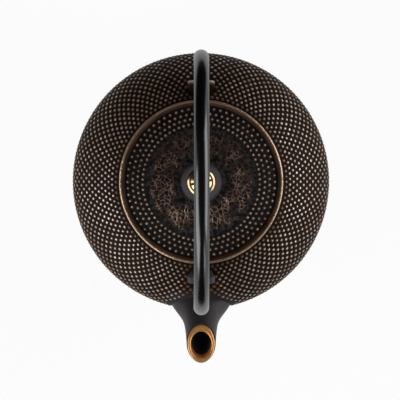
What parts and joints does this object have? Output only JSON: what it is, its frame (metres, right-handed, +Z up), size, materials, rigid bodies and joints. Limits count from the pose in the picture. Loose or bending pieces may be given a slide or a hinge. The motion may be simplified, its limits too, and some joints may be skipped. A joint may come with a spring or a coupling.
{
  "type": "cast iron teapot",
  "caption": "Round cast iron teapot with hobnail rows, a short spout, an arched bail that swings in two lugs, a lift-off lid with a brass-screwed knob, and a lift-out strainer.",
  "frame": {"origin": "centre of the pot's flat foot, on the surface that it stands on", "axes": "+Z up along the pot's axis; the spout points along -Y; the bail's arch stands in the YZ plane and swings towards +X and -X"},
  "size_m": [0.1634, 0.1991, 0.1892],
  "materials": {
    "iron": "black-brown cast finish, rubbed bronze on the raised parts",
    "black_enamel": "satin black enamel",
    "brass": "polished, lightly aged",
    "steel": "perforated stainless sheet"
  },
  "bodies": {
    "pot": {"pot_body": "iron", "spout": "iron", "pot_foot": "iron"},
    "bail": {"bail_handle": "black_enamel"},
    "strainer": {"strainer_rim": "steel", "strainer_wall": "steel", "strainer_base": "steel"},
    "lid": {"lid": "iron", "lid_knob": "black_enamel", "knob_washer": "brass", "knob_screw": "brass", "knob_nut": "brass"}
  },
  "joints": [
    {"name": "bail_swing", "type": "hinge", "parent": "pot", "child": "bail", "pos_m": [0, 0, 0.08403], "axis": [0, 1, 0], "range_deg": [-105, 105]},
    {"name": "strainer_lift", "type": "slide", "parent": "pot", "child": "strainer", "axis": [0, 0, 1], "range_m": [0, 0.053]},
    {"name": "lid_lift", "type": "slide", "parent": "strainer", "child": "lid", "axis": [0, 0, 1], "range_m": [0, 0.06]}
  ]
}
